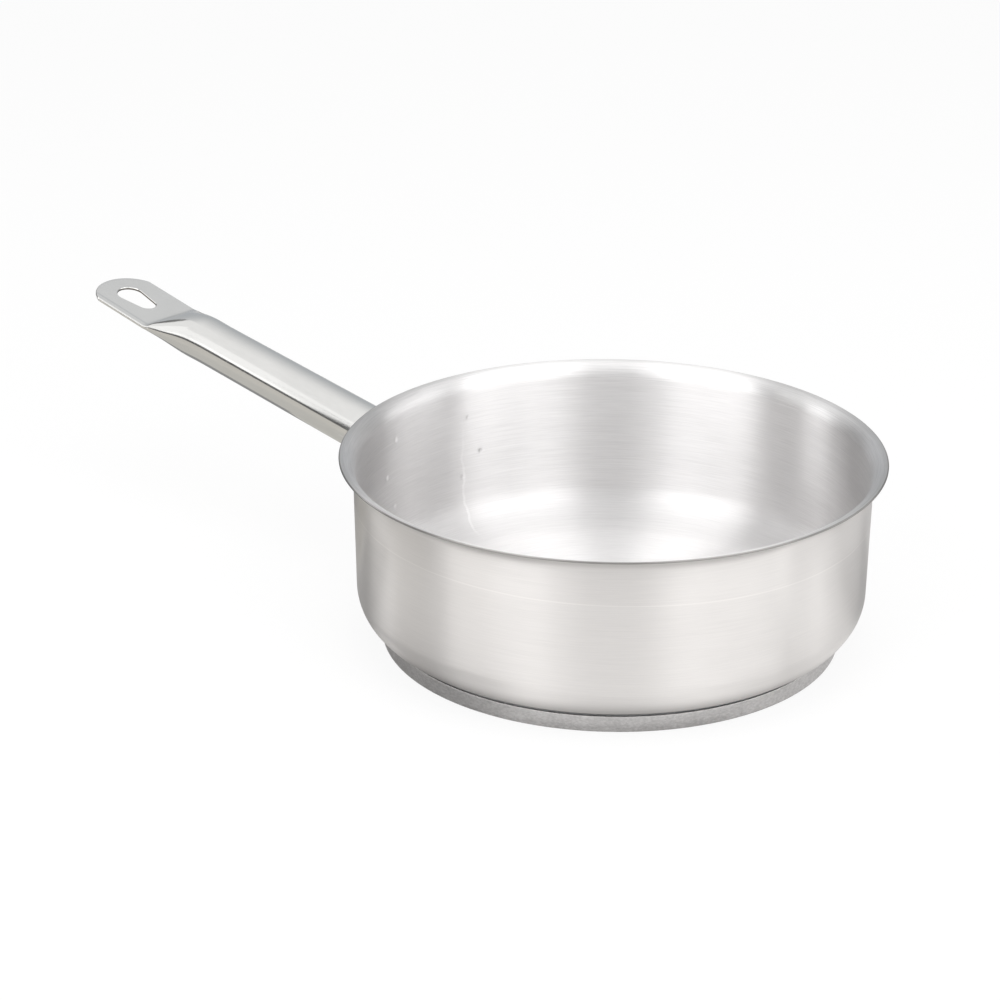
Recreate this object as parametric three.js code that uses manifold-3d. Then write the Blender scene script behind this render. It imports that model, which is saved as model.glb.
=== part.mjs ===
// Saute pan: a drawn steel body with a flared rim, a three-layer base and a hollow oval handle.
// The handle is welded to a six-spot flange on the wall, and its far end is pressed flat and pierced to hang.
// Millimetres, +Z up. The origin is the centre of the base's underside, and the handle points along +X.
import * as THREE from 'three';
import { mergeVertices } from 'three/addons/utils/BufferGeometryUtils.js';
import Module from 'manifold-3d';

const wasm = await Module();
wasm.setup();
const degree = Math.PI / 180;

// Pan body, drawn from one sheet
const mouth_diameter = 240;
const body_sheet = 1.0;
const body_depth = 83.9;
const wall_draft = 1.0 * degree;
const corner_radius = 20.5;
const flare_radius = 6.8;
const flare_sweep = 88 * degree;

// Base: an aluminium core closed in by a steel capsule
const base_inset = 12.8;
const core_thickness = 5.8;
const capsule_sheet = 0.8;
const capsule_bend = 1.4;

// Handle tube, measured along its axis from the pan's wall
const handle_below_rim = 37.8;
const handle_tilt = 9.3 * degree;
const tube_sheet = 0.8;
const tube_width = 30.5;
const tube_height = 22.9;
const tube_far_width = 28.7;
const tube_far_height = 21.5;
const tube_length = 150;
const tube_squareness = 2;

// Flattened end of the handle: the tube widens over one length and is pressed down over a shorter one
const flatten_length = 41.4;
const press_length = 30;
const tongue_length = 47.6;
const tongue_width = 37.4;
const tongue_thickness = 1.6;
const tongue_bend = 2.6 * degree;
const tongue_squareness = 7;
const crease_sharpness = 3;
const tip_shoulder = 0.2;
const hole_wide_radius = 7;
const hole_narrow_radius = 4.9;
const hole_centre_spacing = 13.2;
const hole_to_tip = 17.8;

// Flange that carries the handle, and its welds
const flange_sheet = 1.6;
const flange_margin = 7;
const collar_sheet = 1.5;
const collar_length = 14;
const spot_rows_apart = 34;
const spot_span_middle = 67;
const spot_span_outer = 52;
const spot_diameter = 6;
const spot_pocket_depth = 0.8;
const bead_leg = 3;

// Gap between pieces that touch, and how finely round forms are divided
const seat_gap = 0.3;
const round_sides = 72;
const corner_steps = 8;
const flare_steps = 7;
const bend_steps = 3;
const tube_sides = 36;
const flatten_steps = 9;
const hole_steps = 20;
const flange_corner_steps = 6;
const bead_sides = 48;
const spot_sides = 16;

// Heights and radii worked out from the sizes above
const floor_height = capsule_sheet + core_thickness + 2 * seat_gap;
const rim_height = floor_height + body_depth;
const handle_height = rim_height - handle_below_rim;
const flare_end = Math.PI - flare_sweep;
const flare_crest = Math.max(flare_end, Math.PI / 2);
const flare_centre_z = rim_height - (flare_radius + body_sheet) * Math.sin(flare_crest);
const flare_root_z = flare_centre_z + flare_radius * Math.sin(wall_draft);
const flare_root_radius = mouth_diameter / 2 + body_sheet;
const base_radius = flare_root_radius - base_inset;
const flare_centre_r = flare_root_radius + flare_radius * Math.cos(wall_draft);
const corner_centre_z = floor_height + corner_radius;
const corner_centre_r = wallRadius(corner_centre_z) - corner_radius / Math.cos(wall_draft);

// Outside radius of the wall at a height
function wallRadius(z) {
  return flare_root_radius - (flare_root_z - z) * Math.tan(wall_draft);
}

// Height of the body's outside bend at a radius, lowered by a gap
function underCorner(radius, gap) {
  const reach = corner_radius + gap;
  return corner_centre_z - Math.sqrt(reach ** 2 - (radius - corner_centre_r) ** 2);
}

function arc(centre_r, centre_z, radius, from, to, steps) {
  return Array.from({ length: steps + 1 }, (_, i) => {
    const angle = from + ((to - from) * i) / steps;
    return new THREE.Vector2(centre_r + radius * Math.cos(angle), centre_z + radius * Math.sin(angle));
  });
}

// Solids for joining and cutting
function solidOf(geometry) {
  const bare = geometry.clone();
  bare.deleteAttribute('normal');
  bare.deleteAttribute('uv');
  const merged = mergeVertices(bare);
  const corners = merged.index.array;
  const triangles = [];
  for (let i = 0; i < corners.length; i += 3) {
    const [a, b, c] = corners.slice(i, i + 3);
    if (a !== b && b !== c && c !== a) triangles.push(a, b, c);
  }
  const vertProperties = new Float32Array(merged.attributes.position.array);
  const triVerts = new Uint32Array(triangles);
  return new wasm.Manifold(new wasm.Mesh({ numProp: 3, vertProperties, triVerts }));
}

function geometryOf(solid) {
  const mesh = solid.getMesh();
  const geometry = new THREE.BufferGeometry();
  geometry.setAttribute('position', new THREE.BufferAttribute(mesh.vertProperties, 3));
  geometry.setIndex(new THREE.BufferAttribute(mesh.triVerts, 1));
  geometry.computeVertexNormals();
  return geometry;
}

// A profile of radius and height, listed upwards along its outside, turned about the Z axis
function turned(profile) {
  return solidOf(new THREE.LatheGeometry(profile, round_sides).rotateX(Math.PI / 2));
}

// A skin over rings of equal point counts, capped at both ends or joined into a closed ring
function lofted(rings, joined = false) {
  const sides = rings[0].length;
  const points = rings.flat();
  const triangles = [];
  const spans = joined ? rings.length : rings.length - 1;
  for (let i = 0; i < spans; i += 1) {
    const here = i * sides;
    const there = ((i + 1) % rings.length) * sides;
    for (let j = 0; j < sides; j += 1) {
      const next = (j + 1) % sides;
      triangles.push(here + j, here + next, there + next, here + j, there + next, there + j);
    }
  }
  if (!joined) {
    const last = points.length - sides;
    for (let j = 1; j < sides - 1; j += 1) {
      triangles.push(0, j + 1, j, last, last + j, last + j + 1);
    }
  }
  const geometry = new THREE.BufferGeometry().setFromPoints(points);
  geometry.setIndex(triangles);
  return geometry;
}

function piece(name, solid, finish) {
  const mesh = new THREE.Mesh(geometryOf(solid), new THREE.MeshStandardMaterial(finish));
  mesh.name = name;
  return mesh;
}

// Pan body: floor, bend, drafted wall and flared rim in one sheet
function panBody() {
  const wall_angle = Math.PI - wall_draft;
  const inner_corner = corner_radius - body_sheet;
  const inner_flare = flare_radius + body_sheet;
  return turned([
    new THREE.Vector2(0, floor_height),
    ...arc(corner_centre_r, corner_centre_z, corner_radius, -Math.PI / 2, -wall_draft, corner_steps),
    ...arc(flare_centre_r, flare_centre_z, flare_radius, wall_angle, flare_end, flare_steps),
    ...arc(flare_centre_r, flare_centre_z, inner_flare, flare_end, wall_angle, flare_steps),
    ...arc(corner_centre_r, corner_centre_z, inner_corner, -wall_draft, -Math.PI / 2, corner_steps),
    new THREE.Vector2(0, floor_height + body_sheet),
  ]);
}

// Base core: a disc that fills the capsule up to the body's floor and the start of its bend
function baseCore() {
  const radius = base_radius - capsule_sheet - seat_gap;
  const bend = capsule_bend - capsule_sheet;
  const bottom = capsule_sheet + seat_gap;
  const reach = corner_radius + seat_gap;
  const edge_angle = -Math.acos((radius - corner_centre_r) / reach);
  return turned([
    new THREE.Vector2(0, bottom),
    ...arc(radius - bend, bottom + bend, bend, -Math.PI / 2, 0, bend_steps),
    ...arc(corner_centre_r, corner_centre_z, reach, edge_angle, -Math.PI / 2, bend_steps),
    new THREE.Vector2(0, floor_height - seat_gap),
  ]);
}

// Base capsule: a shallow cup whose flank reaches up to the body's bend
function baseCapsule() {
  const inside = base_radius - capsule_sheet;
  const centre = base_radius - capsule_bend;
  return turned([
    new THREE.Vector2(0, 0),
    ...arc(centre, capsule_bend, capsule_bend, -Math.PI / 2, 0, bend_steps),
    new THREE.Vector2(base_radius, underCorner(base_radius, seat_gap)),
    new THREE.Vector2(inside, underCorner(inside, seat_gap)),
    ...arc(centre, capsule_bend, capsule_bend - capsule_sheet, 0, -Math.PI / 2, bend_steps),
    new THREE.Vector2(0, capsule_sheet),
  ]);
}

// Handle frame: X along the tube's axis from the wall, Y across, Z towards the tube's top
const handle_frame = new THREE.Matrix4()
  .makeRotationY(-handle_tilt)
  .setPosition(wallRadius(handle_height), 0, handle_height);
const bend_x = tube_length + flatten_length;
const tongue_frame = new THREE.Matrix4().makeRotationY(-tongue_bend).setPosition(bend_x, 0, 0);
const tube_start = -tube_height / 2;

function mix(from, to, share) {
  return from + (to - from) * share;
}

// Half sizes of the tube's section at a distance along it, and how square the section is
function tubeSection(x) {
  const along = Math.min(x, tube_length) / tube_length;
  const pressed = Math.max(0, x - tube_length) / flatten_length;
  const lowered = Math.max(0, x - bend_x + press_length) / press_length;
  const widen = 1 - Math.cos((pressed * Math.PI) / 2);
  const flatten = 1 - Math.cos((lowered * Math.PI) / 2);
  return {
    half_width: mix(mix(tube_width, tube_far_width, along), tongue_width, widen) / 2,
    half_height: mix(mix(tube_height, tube_far_height, along), tongue_thickness, flatten) / 2,
    squareness: mix(tube_squareness, tongue_squareness, pressed ** crease_sharpness),
  };
}

// One ring of a rounded section, its width and height reduced by an inset all round
function sectionRing(section, x, inset) {
  const power = 2 / section.squareness;
  return Array.from({ length: tube_sides }, (_, i) => {
    const angle = (i * 2 * Math.PI) / tube_sides;
    const across = Math.cos(angle);
    const up = Math.sin(angle);
    return new THREE.Vector3(
      x,
      (section.half_width - inset) * Math.sign(across) * Math.abs(across) ** power,
      (section.half_height - inset) * Math.sign(up) * Math.abs(up) ** power,
    );
  });
}

// Places along the tube where its section is drawn, from inside the wall to the crease
const pressed_stations = Array.from({ length: flatten_steps + 1 }, (_, i) => {
  return tube_length + (flatten_length * i) / flatten_steps;
});
const tube_stations = [tube_start, ...pressed_stations];

// Outline of the hanging hole: two round ends joined by straight sides, the wide end towards the tip
function holeOutline() {
  const wide_x = tongue_length - hole_to_tip;
  const narrow_x = wide_x - hole_centre_spacing;
  const side = Math.acos((hole_narrow_radius - hole_wide_radius) / hole_centre_spacing);
  return new THREE.Shape()
    .absarc(wide_x, 0, hole_wide_radius, -side, side)
    .absarc(narrow_x, 0, hole_narrow_radius, side, 2 * Math.PI - side);
}

// What the round tip leaves outside it
function tipOffcut() {
  const tip_radius = tongue_width / 2 + tip_shoulder;
  const centre = tongue_length - tip_radius;
  const beyond = tongue_length + tongue_width;
  return new THREE.Shape()
    .moveTo(centre, tongue_width)
    .lineTo(centre, tip_radius)
    .absarc(centre, 0, tip_radius, Math.PI / 2, -Math.PI / 2, true)
    .lineTo(centre, -tongue_width)
    .lineTo(beyond, -tongue_width)
    .lineTo(beyond, tongue_width);
}

// A cutter that passes both faces of the flattened end
function throughTongue(outline) {
  const depth = 4 * tongue_thickness;
  const shape = { depth, bevelEnabled: false, curveSegments: hole_steps };
  const cutter = new THREE.ExtrudeGeometry(outline, shape);
  return solidOf(cutter.translate(0, 0, -depth / 2).applyMatrix4(tongue_frame).applyMatrix4(handle_frame));
}

// The wall's outside offset outwards, as a solid of revolution across the handle's height
function wallSolid(offset) {
  const low = handle_height - tube_height - spot_rows_apart;
  const high = handle_height + tube_height + spot_rows_apart;
  return turned([
    new THREE.Vector2(0, low),
    new THREE.Vector2(wallRadius(low) + offset, low),
    new THREE.Vector2(wallRadius(high) + offset, high),
    new THREE.Vector2(0, high),
  ]);
}

const flange_back = seat_gap;
const flange_face = flange_back + flange_sheet;
const tube_end = flange_face + seat_gap;

// Handle tube: oval and hollow, flattened to a tongue with a round tip and a hanging hole
function handleTube() {
  const tongue = sectionRing(tubeSection(bend_x), tongue_length, 0);
  const outside = [
    ...tube_stations.map((x) => sectionRing(tubeSection(x), x, 0)),
    tongue.map((point) => point.applyMatrix4(tongue_frame)),
  ];
  const closing = 1.5 * tube_sheet;
  const hollow = tube_stations
    .filter((x) => tubeSection(x).half_height > closing)
    .map((x) => sectionRing(tubeSection(x), x, tube_sheet));
  return solidOf(lofted(outside).applyMatrix4(handle_frame))
    .subtract(solidOf(lofted(hollow).applyMatrix4(handle_frame)))
    .subtract(throughTongue(tipOffcut()))
    .subtract(throughTongue(holeOutline()))
    .subtract(wallSolid(tube_end));
}

// Weld spots, three on each side of the handle, as places across and above its axis
const spot_places = [1, -1].flatMap((side) => [
  new THREE.Vector2((side * spot_span_outer) / 2, (-side * spot_rows_apart) / 2),
  new THREE.Vector2((side * spot_span_middle) / 2, 0),
  new THREE.Vector2((side * spot_span_outer) / 2, (side * spot_rows_apart) / 2),
]);

// Outline of the flange: a margin round the weld spots, with rounded corners
function flangeOutline() {
  const outline = new THREE.Shape();
  const count = spot_places.length;
  spot_places.forEach((spot, i) => {
    const before = spot.clone().sub(spot_places[(i + count - 1) % count]);
    const after = spot_places[(i + 1) % count].clone().sub(spot);
    const quarter = Math.PI / 2;
    outline.absarc(spot.x, spot.y, flange_margin, before.angle() - quarter, after.angle() - quarter);
  });
  return outline;
}

// A round plug set into the wall's outside at a weld spot, between two distances from the wall
function spotPlug(spot, diameter, from, to) {
  const height = handle_height + spot.y;
  const wall = wallRadius(height);
  const plug = new THREE.CylinderGeometry(diameter / 2, diameter / 2, to - from, spot_sides);
  plug.rotateZ(-Math.PI / 2).translate(wall + (from + to) / 2, 0, height);
  return solidOf(plug.rotateZ(Math.asin(spot.x / wall)));
}

// Collar that the tube slides over, as a plug of a given length reduced by an inset all round
function collarPlug(length, inset) {
  const section = tubeSection(tube_end + collar_length);
  const ends = [tube_start, tube_end + length];
  const rings = ends.map((x) => sectionRing(section, x, tube_sheet + seat_gap + inset));
  return solidOf(lofted(rings).applyMatrix4(handle_frame));
}

// Flange: a plate curved to the wall, with an open collar and a pocket behind each weld spot
function handleFlange() {
  const shape = { depth: mouth_diameter, bevelEnabled: false, curveSegments: flange_corner_steps };
  const slab = new THREE.ExtrudeGeometry(flangeOutline(), shape);
  const towards_x = new THREE.Matrix4().makeBasis(
    new THREE.Vector3(0, 1, 0),
    new THREE.Vector3(0, 0, 1),
    new THREE.Vector3(1, 0, 0),
  );
  slab.applyMatrix4(towards_x).translate(0, 0, handle_height);
  let flange = wallSolid(flange_face)
    .intersect(solidOf(slab))
    .add(collarPlug(collar_length, 0))
    .subtract(collarPlug(2 * collar_length, collar_sheet))
    .subtract(wallSolid(flange_back));
  for (const spot of spot_places) {
    const pocket_diameter = spot_diameter + 2 * seat_gap;
    flange = flange.subtract(spotPlug(spot, pocket_diameter, 0, flange_back + spot_pocket_depth));
  }
  return flange;
}

// Weld bead in the corner between the tube's end and the flange
function handleBead() {
  const section = tubeSection(tube_end);
  const seat = (angle, out, rise) => {
    const point = new THREE.Vector3(
      0,
      (section.half_width + out) * Math.cos(angle),
      (section.half_height + out) * Math.sin(angle),
    );
    const placed = point.clone().applyMatrix4(handle_frame);
    const face = Math.sqrt((wallRadius(placed.z) + tube_end) ** 2 - placed.y ** 2);
    point.x = (face - placed.x) / Math.cos(handle_tilt) + rise;
    return point;
  };
  const crown = bead_leg * Math.SQRT1_2;
  const rings = Array.from({ length: bead_sides }, (_, i) => {
    const angle = (-i * 2 * Math.PI) / bead_sides;
    return [
      seat(angle, seat_gap, seat_gap),
      seat(angle, bead_leg, seat_gap),
      seat(angle, crown, crown),
      seat(angle, seat_gap, bead_leg),
    ];
  });
  return solidOf(lofted(rings, true).applyMatrix4(handle_frame));
}

const brushed = { color: 0xc9c9c6, roughness: 0.32, metalness: 1 };
const blasted = { color: 0xa5a4a1, roughness: 0.55, metalness: 1 };
const polished = { color: 0xd2d0cc, roughness: 0.12, metalness: 1 };
const aluminium = { color: 0xbfc1c3, roughness: 0.45, metalness: 1 };
const welded = { color: 0xb4b1ac, roughness: 0.4, metalness: 1 };

const body_group = new THREE.Group();
body_group.add(
  piece('pan_body', panBody(), brushed),
  piece('base_core', baseCore(), aluminium),
  piece('base_capsule', baseCapsule(), blasted),
);

const handle_group = new THREE.Group();
handle_group.add(
  piece('handle_tube', handleTube(), polished),
  piece('handle_flange', handleFlange(), polished),
  piece('handle_bead', handleBead(), welded),
);
spot_places.forEach((spot, i) => {
  const nugget = spotPlug(spot, spot_diameter, seat_gap, spot_pocket_depth);
  handle_group.add(piece(`spot_weld_${i + 1}`, nugget, welded));
});

const saute_pan = new THREE.Group();
saute_pan.add(body_group, handle_group);

export default saute_pan;
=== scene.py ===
"""Looks of a steel saute pan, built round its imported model.

Sizes are in millimetres until a mesh is made.
"""

import math
from types import SimpleNamespace

import bmesh
import bpy
from mathutils import Matrix, Vector


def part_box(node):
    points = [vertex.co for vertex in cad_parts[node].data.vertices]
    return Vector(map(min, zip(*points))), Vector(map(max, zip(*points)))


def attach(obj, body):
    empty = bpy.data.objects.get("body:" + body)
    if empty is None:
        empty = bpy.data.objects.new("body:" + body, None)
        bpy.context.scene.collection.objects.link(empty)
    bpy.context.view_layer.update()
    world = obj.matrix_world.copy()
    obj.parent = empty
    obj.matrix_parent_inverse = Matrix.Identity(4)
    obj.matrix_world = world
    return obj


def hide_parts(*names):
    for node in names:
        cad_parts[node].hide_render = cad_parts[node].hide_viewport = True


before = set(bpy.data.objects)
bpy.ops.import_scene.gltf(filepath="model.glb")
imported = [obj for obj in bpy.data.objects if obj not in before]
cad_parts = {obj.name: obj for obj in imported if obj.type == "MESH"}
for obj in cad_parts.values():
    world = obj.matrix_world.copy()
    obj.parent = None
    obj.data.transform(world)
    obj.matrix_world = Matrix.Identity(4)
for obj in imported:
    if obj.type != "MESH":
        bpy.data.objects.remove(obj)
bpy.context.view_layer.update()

MM = 0.001
QUARTER = math.pi / 2

# Pan body, drawn from one sheet
mouth_radius = 120
body_sheet = 1.0
wall_draft = math.radians(1.0)
corner_radius = 20.5
flare_radius = 6.8
flare_sweep = math.radians(88)
rim_edge_round = 0.42
body_sides = 600
inner_wall_step = 1.6
outer_wall_step = inner_wall_step * 3
corner_steps = 22
flare_steps = 18
rim_edge_steps = 8
floor_rings = (0.8, 0.6, 0.4, 0.2, 0.08, 0)

# Weld marks inside the wall: across, above the handle's axis, depth, radius and change of tone
weld_marks = (
    (24.3, 19.7, 0.24, 2.0, 0.7),
    (33.0, 2.7, 0.26, 2.0, 0.7),
    (26.4, -14.3, 0.18, 2.0, 0.5),
    (-26.6, 17.2, 0.16, 1.6, -0.2),
    (-33.5, -1.9, 0.30, 1.6, -0.9),
    (-23.0, -13.5, 0.14, 2.0, -0.2),
)
mark_reach = 3.6
mark_splits = 2

# Thin mark that runs down the inside of the wall beside the weld spots
drip_place = -23.6
drip_waver = 8.0
drip_waver_scale = 0.07
drip_width = 0.9
drip_strong_below = 18
drip_top = 82
drip_foot = (2, 7)

# Base capsule
capsule_sheet = 0.8
capsule_bend = 1.4
lip_round = 0.4
seam_gap = 1.0
capsule_sides = 360
capsule_bend_steps = 8
capsule_inner_steps = 6
lip_steps = 10
flank_step = 1.0

# Handle tube, measured along its axis from the pan's wall
handle_below_rim = 37.8
handle_tilt = math.radians(9.3)
tube_width = 30.5
tube_height = 22.9
tube_far_width = 28.7
tube_far_height = 21.5
tube_length = 150
flatten_length = 41.4
press_length = 30
tube_sides = 240
first_ring_place = 10
plain_rings = 14
pressed_rings = 32
crease_rings = 20

# Flattened end of the handle
tongue_length = 47.6
tongue_width = 37.4
tongue_bend = math.radians(2.6)
tongue_squareness = 4
crease_sharpness = 8
crease_height = 2.4
crease_blend = 5.0
tip_radius = 19.6
tip_edge_round = 0.5
pressed_thickness = 1.4
fold_radius = 0.85
fold_stop = math.radians(20)
fold_under_round = 0.3
fold_from = math.radians(25)
fold_to = math.radians(-15)
fold_upper_steps = 14
fold_lower_steps = 10
flat_spread = 0.8
press_mark_place = 14.2
press_mark_width = 1.6
press_mark_height = 0.2
hole_wide_radius = 7.0
hole_narrow_radius = 4.9
hole_centre_spacing = 13.2
hole_to_tip = 17.8
hole_edge_round = 0.3
hole_edge_steps = 5
hole_arc_steps = 32
hole_tool_overrun = 3
hole_mark_margin = 1
hole_wall_share = 0.9
tip_rings = 24
tip_edge_steps = 5
tip_seam_half_gap = 0.12
tip_seam_depth = 0.35
tip_thinnest_half = 0.04

# Flange and its welds
seat_gap = 0.3
flange_sheet = 1.6
flange_margin = 7
flange_edge_round = 0.6
spot_rows_apart = 34
spot_span_middle = 67
spot_span_outer = 52
spot_dent_radius = 3.6
spot_dent_depth = 0.4
flange_seat_share = 0.9
flange_corner_steps = 10
flange_side_points = 24
flange_edge_steps = 4
flange_rings = 28
bead_radius = 2.0
bead_reach_share = 0.35
bead_path_steps = 120
bead_sides = 14
bead_ripples = 88
bead_ripple_steps = 6
bead_ripple_depth = 0.07

# Meshing of all pieces, and the angles past which an edge shows sharp
merge_distance = 0.002
spindle_radius = 1
turned_sharp = math.radians(60)
handle_sharp = math.radians(24)
flange_sharp = math.radians(50)
bead_sharp = math.radians(80)
never_sharp = math.radians(180)

# Polishing line round the outside: its height on the pan's axis and its rise along X and Y
line_height_on_axis = 67.4
line_rise_x = 0.0124
line_rise_y = 0.0112
line_blend = 0.4
line_core_squared = 0.02

# Zones of the finishes and of the painted shade: where each starts and ends past a face, the floor, a seam, a
# bend or the lip
sheet_middle = (0.3 * body_sheet, 0.7 * body_sheet)
outer_face_zone = (-0.5 * body_sheet, -0.2 * body_sheet)
floor_zone = (2, 12)
haze_zone = (6, 22)
# Painted shade low on the outer bend, fading up from the seam
bend_shade_zone = (0, 12)
# Near-black painted shade in the seam's gap
seam_shade_zone = (-0.2, 0.5)
flare_foot_zone = (-0.3, 0.3)
# Painted shadow on the outer wall just under the lip
lip_shadow_zone = (0.8, 4)
bend_top_zone = (-0.5, 0.5)
base_edge_zone = (-8, -6)
# Painted shade on the rim's cut edge
cut_edge_shade_zone = (-0.8, -0.1)
# Painted shade on the rim's top, just inside its edge
rim_shade_zone = (-3.6, -1.4)
dull_end_zone = (-1.5, 1.0)

# How much each zone darkens the body's colour: a duller inside floor, and painted shade at the rim, under the
# lip and on the bend
floor_dulling = 0.1
rim_shade_strength = 0.18
lip_shadow_strength = 0.35
cut_edge_shade_strength = 0.95
bend_shade_strength = 0.8

# Brushing of the pan body: grain round the axis and across it, its share of the tone and its depth
axis_guard = 0.01
fine_round = 6
fine_across = 2.8
fine_share = 0.75
band_round = 2.5
band_across = 0.35
band_share = 0.15
cloud_share = 0.1
flare_streaks = 0.7
line_tone = 0.35
drip_tone = 0.28
brush_depth = 0.004
brush_depth_fine_share = 0.7

# Roughness of the pan body and what its zones add
body_roughness = 0.335
brush_roughness = 0.12
above_line_roughness = 0.03
haze_roughness = 0.13
flare_roughness = 0.06

# Colours of the metals, dark and light
inner_tones = ((0.664, 0.656, 0.654), (0.999, 0.989, 0.988))
outer_tones = ((0.688, 0.667, 0.651), (0.842, 0.8165, 0.797))
# Shared by the duller inside floor and the painted shade
dull_and_shade_tone = (0.3, 0.29, 0.28)
seam_shade_tone = (0.04, 0.04, 0.04)
blasted_tones = ((0.44, 0.428, 0.422), (0.61, 0.597, 0.59))
# Near-black painted shade in the seam's gap
polished_tones = ((0.70, 0.695, 0.68), (0.84, 0.835, 0.82))
sheared_tone = (0.24, 0.22, 0.2)
welded_tones = ((0.62, 0.61, 0.60), (0.60, 0.53, 0.42))
aluminium_tones = ((0.68, 0.69, 0.70), (0.80, 0.81, 0.82))

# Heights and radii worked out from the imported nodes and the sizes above
floor_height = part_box("pan_body")[0].z / MM
rim_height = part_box("pan_body")[1].z / MM
base_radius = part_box("base_capsule")[1].x / MM
handle_height = rim_height - handle_below_rim
flare_end = math.pi - flare_sweep
flare_centre_z = rim_height - (flare_radius + body_sheet)
flare_root_z = flare_centre_z + flare_radius * math.sin(wall_draft)
flare_root_radius = mouth_radius + body_sheet
flare_centre_r = flare_root_radius + flare_radius * math.cos(wall_draft)
lip_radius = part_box("pan_body")[1].y / MM


def wall_radius(z):
    """Outside radius of the wall at a height."""
    return flare_root_radius - (flare_root_z - z) * math.tan(wall_draft)


corner_centre_z = floor_height + corner_radius
corner_centre_r = wall_radius(corner_centre_z) - corner_radius / math.cos(wall_draft)
seam_height = corner_centre_z - math.sqrt(corner_radius**2 - (base_radius - corner_centre_r) ** 2)


# Node trees, written as expressions
class Wire:
    """One output of a node. Arithmetic on it adds Math nodes to its tree."""

    def __init__(self, tree, socket):
        self.tree = tree
        self.socket = socket

    def math(self, operation, *values):
        return node(self.tree, "ShaderNodeMath", dict(enumerate(values)), operation=operation)

    def __add__(self, other):
        return self.math("ADD", self, other)

    def __radd__(self, other):
        return self.math("ADD", other, self)

    def __sub__(self, other):
        return self.math("SUBTRACT", self, other)

    def __rsub__(self, other):
        return self.math("SUBTRACT", other, self)

    def __mul__(self, other):
        return self.math("MULTIPLY", self, other)

    def __rmul__(self, other):
        return self.math("MULTIPLY", other, self)

    def __truediv__(self, other):
        return self.math("DIVIDE", self, other)

    def __rtruediv__(self, other):
        return self.math("DIVIDE", other, self)

    def __pow__(self, other):
        return self.math("POWER", self, other)

    def output(self, name):
        return Wire(self.tree, self.socket.node.outputs[name])


def node(tree, kind, values=None, **settings):
    """Adds a node, its settings first, then its sockets' values or links, and returns its first output."""
    made = tree.nodes.new(kind)
    for key, value in settings.items():
        setattr(made, key, value)
    for key, value in (values or {}).items():
        socket = made.inputs[key]
        if isinstance(value, Wire):
            tree.links.new(value.socket, socket)
        elif socket.type == "RGBA":
            socket.default_value = (*value[:3], 1)
        else:
            socket.default_value = value
    return Wire(tree, made.outputs[0]) if made.outputs else made


def length_of(x, y):
    """Length of two wires taken as the sides of a right angle."""
    return (x * x + y * y) ** 0.5


def smooth(tree, value, low, high):
    """0 below low, 1 above high and a smooth step between."""
    limits = {"Value": value, "From Min": low, "From Max": high}
    return node(tree, "ShaderNodeMapRange", limits, interpolation_type="SMOOTHSTEP")


def beyond(level, zone):
    """The two ends of a zone that lies past a level."""
    return level + zone[0], level + zone[1]


def noise(tree, vector, scale, detail=2.0, roughness=0.5):
    """Cloudy noise about one half."""
    values = {"Vector": vector, "Scale": scale, "Detail": detail, "Roughness": roughness}
    return node(tree, "ShaderNodeTexNoise", values)


def joined(tree, x, y, z):
    """A vector from three wires or numbers."""
    return node(tree, "ShaderNodeCombineXYZ", {"X": x, "Y": y, "Z": z})


# Places of the sockets that a Mix node uses for colours
mix_share = 0
mix_dark = 6
mix_light = 7
mix_result = 2


def blended(tree, share, dark, light):
    """A colour between two, by a share."""
    values = {mix_share: share, mix_dark: dark, mix_light: light}
    return node(tree, "ShaderNodeMix", values, data_type="RGBA").output(mix_result)


def new_finish(name):
    """An empty material and its tree."""
    finish = bpy.data.materials.new(name)
    finish.use_nodes = True
    finish.node_tree.nodes.clear()
    return finish, finish.node_tree


def metal(tree, colour, roughness, relief, anisotropy=0.0, turn=0.0):
    """Principled metal with a fine relief in millimetres, as the tree's surface."""
    bump = node(tree, "ShaderNodeBump", {"Strength": 1.0, "Distance": MM, "Height": relief})
    values = {
        "Base Color": colour,
        "Metallic": 1.0,
        "Roughness": roughness,
        "Anisotropic": anisotropy,
        "Anisotropic Rotation": turn,
        "Normal": bump,
    }
    surface = node(tree, "ShaderNodeBsdfPrincipled", values)
    node(tree, "ShaderNodeOutputMaterial", {"Surface": surface})


def object_place(tree):
    """Object coordinates in millimetres, as three wires."""
    place = node(tree, "ShaderNodeTexCoord").output("Object")
    split = node(tree, "ShaderNodeSeparateXYZ", {"Vector": place})
    return [split.output(axis) / MM for axis in "XYZ"]


# Finishes
def weld_tone(tree, x, y, z):
    """Change of tone in the dents that the weld spots leave on the inside of the wall."""
    tones = 0
    for across, above, _, size, tone in weld_marks:
        away = length_of(y - across, z - (handle_height + above))
        tones = tones + (1 - smooth(tree, away, 0, size)) * tone
    return tones * smooth(tree, x, 0, 1)


def drip_mark(tree, x, y, z):
    """Share of a thin wavering mark that runs down the inside of the wall beside the weld spots."""
    waver = noise(tree, joined(tree, 0.0, 0.0, z), drip_waver_scale)
    away = y - (drip_place + (waver - 0.5) * drip_waver)
    strength = 1 - smooth(tree, z, drip_strong_below, drip_top)
    strength = strength * smooth(tree, z, *beyond(floor_height, drip_foot))
    return (1 - smooth(tree, away * away, 0.0, drip_width**2)) * strength * smooth(tree, x, 0, 1)


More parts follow.
